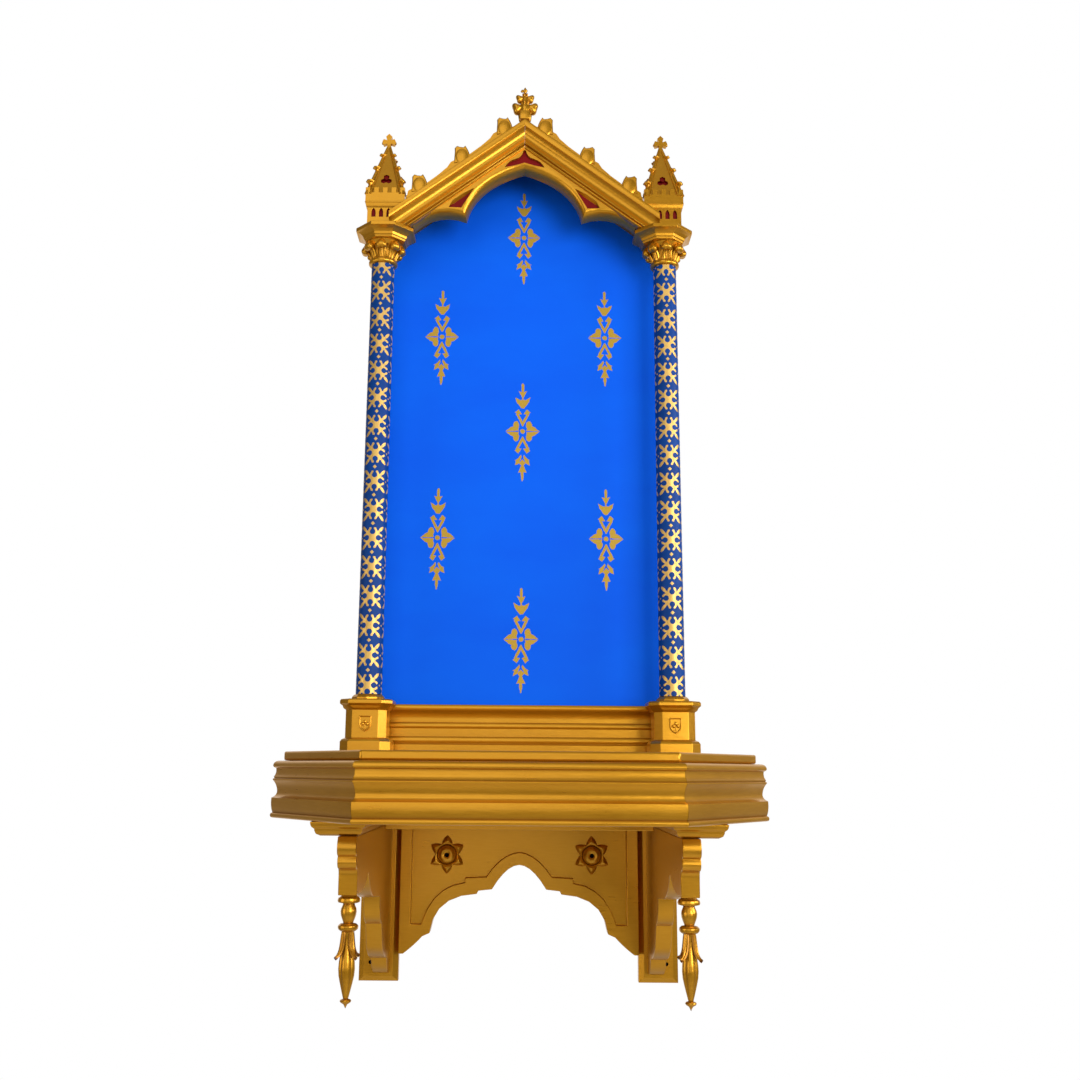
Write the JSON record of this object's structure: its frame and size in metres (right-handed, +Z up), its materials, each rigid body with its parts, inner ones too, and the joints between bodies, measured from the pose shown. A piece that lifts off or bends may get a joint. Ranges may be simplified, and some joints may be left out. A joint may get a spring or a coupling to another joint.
{
  "type": "gothic wall shrine",
  "caption": "Gilded gothic wall shrine: a canted shelf on sawn brackets carries a blue niche with columns, pinnacles and a crocketed gable over a cusped arch.",
  "frame": {"origin": "on the wall plane, on the centre line, 390 mm above the top of the shelf, on the back of the panel", "axes": "+X to the viewer's right, +Y into the wall, +Z up; the front faces -Y"},
  "size_m": [0.556, 0.44, 1.2498],
  "materials": {
    "gilding": "gold paint, satin",
    "panel_paint": "blue paint, matt",
    "column_paint": "blue paint, satin"
  },
  "bodies": {
    "root": {"abacus_left": "gilding", "abacus_right": "gilding", "apex_finial": "gilding", "apron": "gilding", "back_panel": "panel_paint", "bracket_board_left": "gilding", "bracket_board_right": "gilding", "bracket_cap_left": "gilding", "bracket_cap_right": "gilding", "capital_left": "gilding", "capital_right": "gilding", "column_left": "column_paint", "column_right": "column_paint", "crocket_ridge_left": "gilding", "crocket_ridge_right": "gilding", "cross_batten": "gilding", "gable_tracery": "gilding", "pedestal_left": "gilding", "pedestal_right": "gilding", "pendant_left": "gilding", "pendant_right": "gilding", "pinnacle_left": "gilding", "pinnacle_right": "gilding", "predella": "gilding", "rake_left": "gilding", "rake_right": "gilding", "rosette_left": "gilding", "rosette_right": "gilding", "shelf_board": "gilding", "shelf_moulding_cant_left": "gilding", "shelf_moulding_cant_right": "gilding", "shelf_moulding_front": "gilding", "shelf_moulding_side_left": "gilding", "shelf_moulding_side_right": "gilding", "shelf_underboard": "gilding", "wall_plate_left": "gilding", "wall_plate_right": "gilding"}
  },
  "joints": []
}
